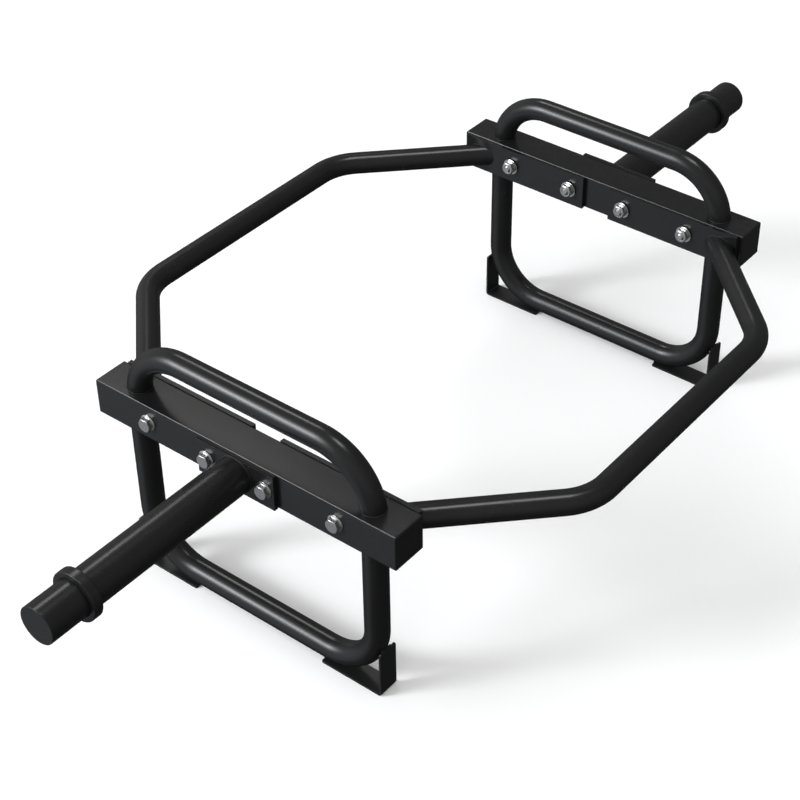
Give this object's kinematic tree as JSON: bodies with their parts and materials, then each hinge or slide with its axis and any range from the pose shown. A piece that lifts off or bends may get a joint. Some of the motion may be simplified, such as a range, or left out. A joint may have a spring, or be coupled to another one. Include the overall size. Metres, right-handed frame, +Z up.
{
  "type": "trap bar",
  "caption": "Eight-sided open trap bar with raised handles over square side beams, stand loops with feet below, and round weight sleeves that carry sliding collars.",
  "frame": {"origin": "on the floor, below the middle of the ring", "axes": "+X towards the right sleeve's end, +Y towards the front, +Z up"},
  "size_m": [1.443, 0.7436, 0.3669],
  "materials": {
    "black_paint": "semi-gloss",
    "collar_paint": "satin",
    "zinc": "bright zinc plate"
  },
  "bodies": {
    "frame": {"left_side_beam": "black_paint", "left_front_beam_cap": "black_paint", "left_rear_beam_cap": "black_paint", "left_top_handle": "black_paint", "left_stand_loop": "black_paint", "left_front_foot": "black_paint", "left_rear_foot": "black_paint", "left_sleeve_plate": "black_paint", "left_front_ring_plate": "black_paint", "left_rear_ring_plate": "black_paint", "left_sleeve": "black_paint", "left_sleeve_end_disc": "black_paint", "left_bolt_1": "zinc", "left_head_washer_1": "zinc", "left_nut_washer_1": "zinc", "left_nut_1": "zinc", "left_bolt_2": "zinc", "left_head_washer_2": "zinc", "left_nut_washer_2": "zinc", "left_nut_2": "zinc", "left_bolt_3": "zinc", "left_head_washer_3": "zinc", "left_nut_washer_3": "zinc", "left_nut_3": "zinc", "left_bolt_4": "zinc", "left_head_washer_4": "zinc", "left_nut_washer_4": "zinc", "left_nut_4": "zinc", "right_side_beam": "black_paint", "right_front_beam_cap": "black_paint", "right_rear_beam_cap": "black_paint", "right_top_handle": "black_paint", "right_stand_loop": "black_paint", "right_front_foot": "black_paint", "right_rear_foot": "black_paint", "right_sleeve_plate": "black_paint", "right_front_ring_plate": "black_paint", "right_rear_ring_plate": "black_paint", "right_sleeve": "black_paint", "right_sleeve_end_disc": "black_paint", "right_bolt_1": "zinc", "right_head_washer_1": "zinc", "right_nut_washer_1": "zinc", "right_nut_1": "zinc", "right_bolt_2": "zinc", "right_head_washer_2": "zinc", "right_nut_washer_2": "zinc", "right_nut_2": "zinc", "right_bolt_3": "zinc", "right_head_washer_3": "zinc", "right_nut_washer_3": "zinc", "right_nut_3": "zinc", "right_bolt_4": "zinc", "right_head_washer_4": "zinc", "right_nut_washer_4": "zinc", "right_nut_4": "zinc", "front_ring_half": "black_paint", "rear_ring_half": "black_paint"},
    "left_collar": {"left_collar": "collar_paint"},
    "right_collar": {"right_collar": "collar_paint"}
  },
  "joints": [
    {"name": "left_collar_slide", "type": "slide", "parent": "frame", "child": "left_collar", "axis": [-1, 0, 0], "range_m": [-0.234, 0.05]},
    {"name": "right_collar_slide", "type": "slide", "parent": "frame", "child": "right_collar", "axis": [1, 0, 0], "range_m": [-0.234, 0.05]}
  ]
}
